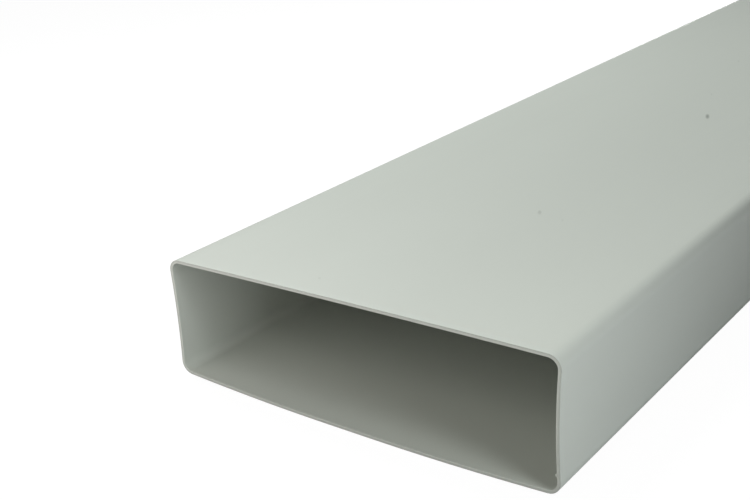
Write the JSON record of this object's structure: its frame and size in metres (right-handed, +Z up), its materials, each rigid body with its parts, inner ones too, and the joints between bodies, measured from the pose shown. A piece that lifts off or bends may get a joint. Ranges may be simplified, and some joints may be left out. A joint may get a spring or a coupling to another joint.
{
  "type": "flat channel duct",
  "caption": "Flat rectangular ventilation duct: a thin-walled plastic channel with rounded corners, open at its ends, that carries air between duct fittings.",
  "frame": {"origin": "on the floor under the middle of the length, in the middle of the flat strip that the duct lies on", "axes": "+Y along the duct, +X across its width, +Z up"},
  "size_m": [0.204, 1, 0.0628],
  "materials": {
    "grey_pvc": "satin light grey rigid PVC, extruded"
  },
  "bodies": {
    "root": {"duct": "grey_pvc"}
  },
  "joints": []
}
